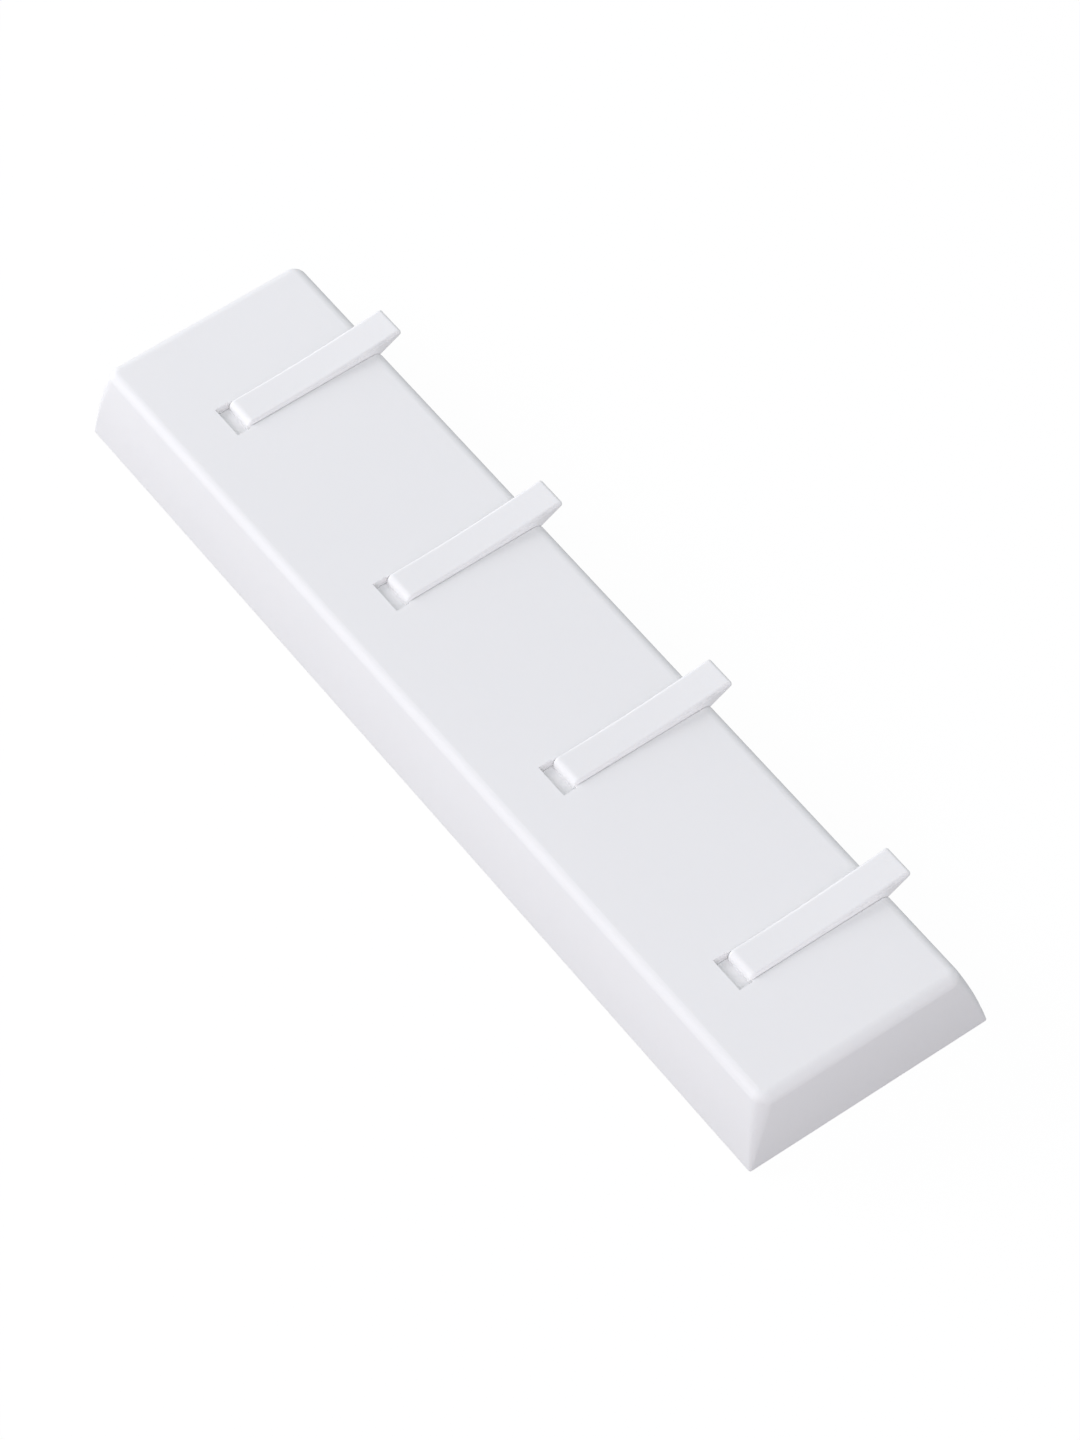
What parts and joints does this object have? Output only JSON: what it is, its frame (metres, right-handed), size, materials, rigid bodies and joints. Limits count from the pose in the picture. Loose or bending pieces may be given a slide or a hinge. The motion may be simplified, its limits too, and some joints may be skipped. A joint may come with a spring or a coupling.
{
  "type": "flip-out hook rail",
  "caption": "Long low white wall rail with sloping sides; slim curved hooks lie flush in slots in its face and swing out on hidden pins.",
  "frame": {"origin": "centre of the flat back face, which goes against the wall or rests on a table", "axes": "+X along the rail; +Y across it, from the hinge side to the hook tips, which is up on a wall; +Z out of the back towards the face"},
  "size_m": [0.3, 0.0751, 0.0264],
  "materials": {
    "rail_plastic": "fine satin moulded white plastic",
    "hook_plastic": "fine satin moulded white plastic, same as the rail",
    "cover_plastic": "plain moulded white plastic, a little duller than the rail",
    "cradle_plastic": "plain moulded off-white plastic",
    "washer_nylon": "natural nylon",
    "pin_steel": "ground steel rod",
    "hanger_steel": "zinc-plated pressed steel",
    "screw_steel": "zinc-plated screws",
    "pad_silicone": "soft translucent white silicone"
  },
  "bodies": {
    "rail": {"rail_shell": "rail_plastic", "back_cover": "cover_plastic", "cover_screws": "screw_steel", "hanger_plate_left": "hanger_steel", "hanger_plate_right": "hanger_steel", "hanger_screws": "screw_steel", "cradle_screws": "screw_steel", "hinge_pin_1": "pin_steel", "pin_cradle_1": "cradle_plastic", "rest_pad_1": "pad_silicone", "hinge_pin_2": "pin_steel", "pin_cradle_2": "cradle_plastic", "rest_pad_2": "pad_silicone", "hinge_pin_3": "pin_steel", "pin_cradle_3": "cradle_plastic", "rest_pad_3": "pad_silicone", "hinge_pin_4": "pin_steel", "pin_cradle_4": "cradle_plastic", "rest_pad_4": "pad_silicone"},
    "hook_1": {"hook_1": "hook_plastic", "friction_washers_1": "washer_nylon"},
    "hook_2": {"hook_2": "hook_plastic", "friction_washers_2": "washer_nylon"},
    "hook_3": {"hook_3": "hook_plastic", "friction_washers_3": "washer_nylon"},
    "hook_4": {"hook_4": "hook_plastic", "friction_washers_4": "washer_nylon"}
  },
  "joints": [
    {"name": "hook_1_flip", "type": "hinge", "parent": "rail", "child": "hook_1", "pos_m": [-0.1125, -0.0094, 0.019], "axis": [1, 0, 0], "range_deg": [0, 90]},
    {"name": "hook_2_flip", "type": "hinge", "parent": "rail", "child": "hook_2", "pos_m": [-0.0375, -0.0094, 0.019], "axis": [1, 0, 0], "range_deg": [0, 90]},
    {"name": "hook_3_flip", "type": "hinge", "parent": "rail", "child": "hook_3", "pos_m": [0.0375, -0.0094, 0.019], "axis": [1, 0, 0], "range_deg": [0, 90]},
    {"name": "hook_4_flip", "type": "hinge", "parent": "rail", "child": "hook_4", "pos_m": [0.1125, -0.0094, 0.019], "axis": [1, 0, 0], "range_deg": [0, 90]}
  ]
}
